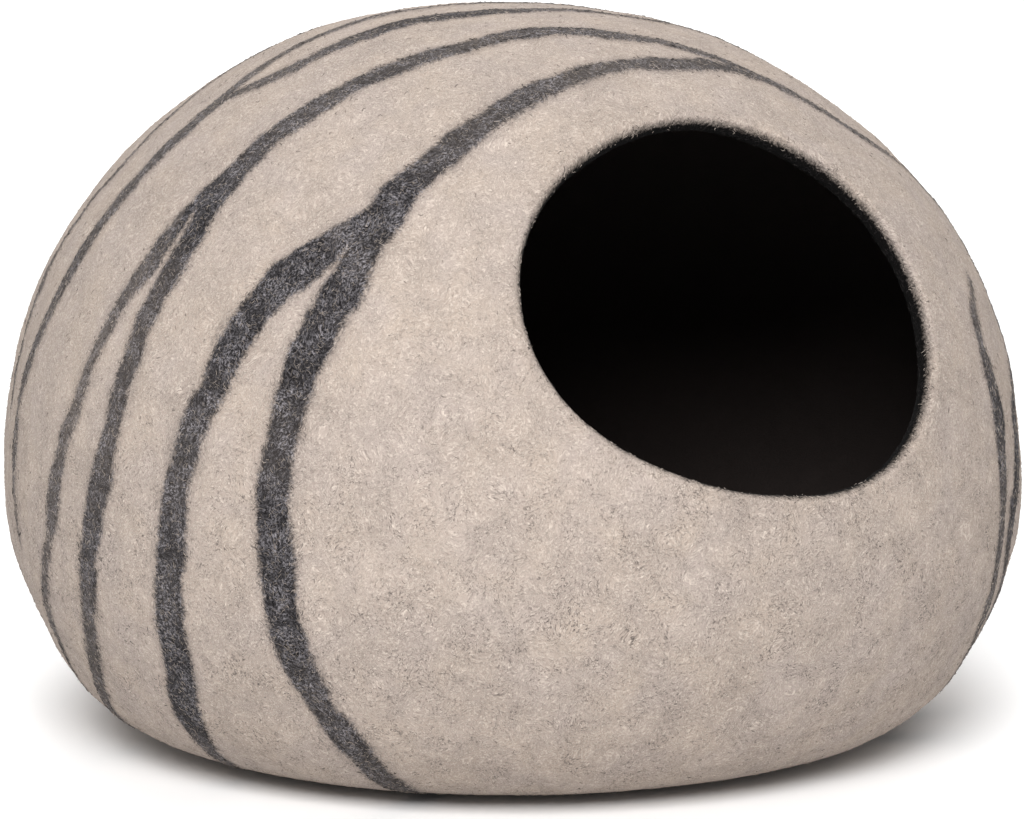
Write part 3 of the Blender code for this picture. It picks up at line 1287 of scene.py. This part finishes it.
class FeltWallSettings(bpy.types.PropertyGroup):
    """Sizes of the felt wall."""

    lip_depth: length("Lip depth", "How far the lip's rounding reaches into the wall", 4.2 * MM)
    dark_from: angle("Dark from", "How far round the lip the dark lining starts", 65)
    lump_size: length("Lump size", "Width of the broad lumps", 32 * MM)
    lump_height: length("Lump height", "Height of the broad lumps", 0.7 * MM)
    dimple_size: length("Dimple size", "Width of the small lumps", 9 * MM)
    dimple_height: length("Dimple height", "Height of the small lumps", 0.28 * MM)
    band_raise: length("Band height", "How far the laid-on bands stand proud", 0.35 * MM)
    calm_foot: length("Calm foot", "Height below which the lumps fade out", 14 * MM)
    bare_foot: length("Bare foot", "Height below which no loose fibres lie", 3 * MM)


class WoolColours(bpy.types.PropertyGroup):
    """Colours of the wool, and how its patterns lie."""

    pale_warm: hex_colour("Warm wool", "Pale wool, warmer patches", "#ae9f93")
    pale_grey: hex_colour("Grey wool", "Pale wool, greyer patches", "#a89b94")
    # Darker in random thin places, and painted shade between the curls.
    pale_thin_and_gap_shade: hex_colour("Shaded wool", "Pale wool, thin places and between curls", "#8f837b")
    pale_fibre: hex_colour("Pale fibre", "Curls on the pale wool", "#c5b8ad")
    speckle: hex_colour("Speckle", "Grey fibres carded into the pale wool", "#4f4845")
    band_gap: hex_colour("Band, deep", "Between the curls of the bands", "#0e0d10")
    band_curl: hex_colour("Band, curls", "Curls on the bands", "#8d898d")
    # The lining near the lip: dark wool, painted near-black as shade.
    lining_gap_shade: hex_colour("Lining, deep", "Between the curls of the lining", "#050404")
    lining_curl_shade: hex_colour("Lining, curls", "Curls on the lining", "#0d0b0a")
    lining_deep: hex_colour("Lining, far in", "Lining away from the lip", "#3c3533")
    fibre_dark: hex_colour("Dark fibre", "Darkest loose fibre", "#151316")
    fibre_pale: hex_colour("Palest fibre", "Palest loose fibre", "#c0b3a8")
    curl_size: length("Curl size", "Distance between the wider curls of one lot", 2.5 * MM)
    rubbed: length("Rubbed", "How far the pattern is pulled into streaks", 10 * MM)
    stray: number("Stray", "Millimetres that dark fibres stray over a band's edge", 1.1)
    wander: number("Wander", "Millimetres that a band's width wanders, slowly", 1.4)
    waver: number("Waver", "Millimetres that a band's edge wavers, in short waves", 0.8)


class FibreSettings(bpy.types.PropertyGroup):
    """Loose fibres on the skin and round the lip."""

    fibres: whole_number("Fibres", "Fibres in each joined mesh on the skin", 10500)
    lip_fibres: whole_number("Lip fibres", "Fibres round the lip", 3600)
    lip_share: number("Lip share", "Length of the fibres round the lip, over the others", 0.8)
    shortest: length("Shortest", "Shortest fibre", 1.6 * MM)
    longest: length("Longest", "Longest fibre", 4.0 * MM)
    thickness: length("Thickness", "Thickness, drawn coarser than wool so it shows", 0.22 * MM)
    curl: number("Curl", "How much a fibre turns along its length, in radians", 2.6)
    rooted: length("Rooted", "How deep the fibres start in the felt", 0.1 * MM)
    lying: length("Lying height", "How high a lying fibre arches", 0.25 * MM)
    standing: length("Standing height", "How high a free end stands", 0.9 * MM)
    loose_share: number("Loose share", "Share of the fibres with a free end", 0.25)
    odd_share: number("Odd share", "Share of the fibres in another wool than that round them", 0.1)
    stray: number("Stray", "Millimetres that fibres stray from their own wool", 1.4)


class StageSettings(bpy.types.PropertyGroup):
    """The floor, the lights and the camera."""

    floor_colour: hex_colour("Floor colour", "Colour of the floor", "#fcfcfc")
    floor_size: length("Floor size", "Side of the floor", 60.0)
    floor_gap: length("Floor gap", "How far the floor lies below the foot", 0.2 * MM)
    world_light: number("World light", "Strength of the light all round", 0.4)
    key_light: number("Key light", "Power of the soft box in front, left", 66.0)
    floor_light: number("Floor light", "Power of the soft box over the floor behind", 270.0)
    camera_turn: angle("Camera turn", "Turn of the camera from straight in front", -31.5)
    camera_lift: angle("Camera lift", "Angle of the camera above the level", 8)
    camera_distance: length("Camera distance", "From the camera to the cave's middle", 1.5)
    camera_level: length("Camera level", "Height that the camera turns round", 0.15)
    camera_aim: length("Camera aim", "Height that the camera looks at", 0.126)
    camera_aim_left: length("Camera aim, left", "How far left of the middle it looks", 0.8 * MM)
    camera_lens: number("Camera lens", "Focal length in millimetres", 129.9)


# Operators.


class CAVE_OT_felt_wall(bpy.types.Operator):
    """Make the felt wall with its lip, lining and bands"""

    bl_idname = "felt_cave.felt_wall"
    bl_label = "Felt wall"

    def execute(self, context):
        wall = make_wall(context.scene.felt_wall)
        wall.data.materials.append(felt_material(context.scene.wool_colours))
        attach(wall, BODY)
        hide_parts(NODE)
        return {"FINISHED"}


class CAVE_OT_loose_fibres(bpy.types.Operator):
    """Lay loose fibres on the felt and round its lip"""

    bl_idname = "felt_cave.loose_fibres"
    bl_label = "Loose fibres"

    def execute(self, context):
        settings, wall = context.scene.loose_fibres, context.scene.felt_wall
        pieces = [
            skin_fibres("loose_fibres_1", 1, spread_ways, settings, wall),
            skin_fibres("loose_fibres_2", 2, spread_ways, settings, wall),
            skin_fibres("loose_fibres_3", 3, band_ways, settings, wall),
            lip_fibres("lip_fibres", 4, settings, wall),
        ]
        material = fibre_material(context.scene.wool_colours)
        for piece in pieces:
            piece.data.materials.append(material)
            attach(piece, BODY)
        return {"FINISHED"}


class CAVE_OT_stage(bpy.types.Operator):
    """Set up the floor, the lights and the camera"""

    bl_idname = "felt_cave.stage"
    bl_label = "Studio"

    def execute(self, context):
        settings = context.scene.cave_stage
        make_floor(settings)
        light_studio(settings)
        make_camera(settings)
        context.scene.view_settings.view_transform = "Standard"
        return {"FINISHED"}


class CAVE_PT_panel(bpy.types.Panel):
    """Lists what makes the cave"""

    bl_label = "Felt cave"
    bl_idname = "CAVE_PT_panel"
    bl_space_type = "VIEW_3D"
    bl_region_type = "UI"
    bl_category = "Felt cave"

    def draw(self, context):
        for operator in (CAVE_OT_felt_wall, CAVE_OT_loose_fibres, CAVE_OT_stage):
            self.layout.operator(operator.bl_idname)
        for name in GROUPS:
            box = self.layout.box()
            group = getattr(context.scene, name)
            for setting in group.__annotations__:
                box.prop(group, setting)


GROUPS = {
    "felt_wall": FeltWallSettings,
    "wool_colours": WoolColours,
    "loose_fibres": FibreSettings,
    "cave_stage": StageSettings,
}
CLASSES = (
    *GROUPS.values(),
    CAVE_OT_felt_wall,
    CAVE_OT_loose_fibres,
    CAVE_OT_stage,
    CAVE_PT_panel,
)


def register():
    for each in CLASSES:
        bpy.utils.register_class(each)
    for name, group in GROUPS.items():
        setattr(bpy.types.Scene, name, bpy.props.PointerProperty(type=group))


def unregister():
    for name in GROUPS:
        delattr(bpy.types.Scene, name)
    for each in reversed(CLASSES):
        bpy.utils.unregister_class(each)


def main():
    register()
    bpy.ops.felt_cave.felt_wall()
    bpy.ops.felt_cave.loose_fibres()
    bpy.ops.felt_cave.stage()
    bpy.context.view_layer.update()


if __name__ == "__main__":
    main()
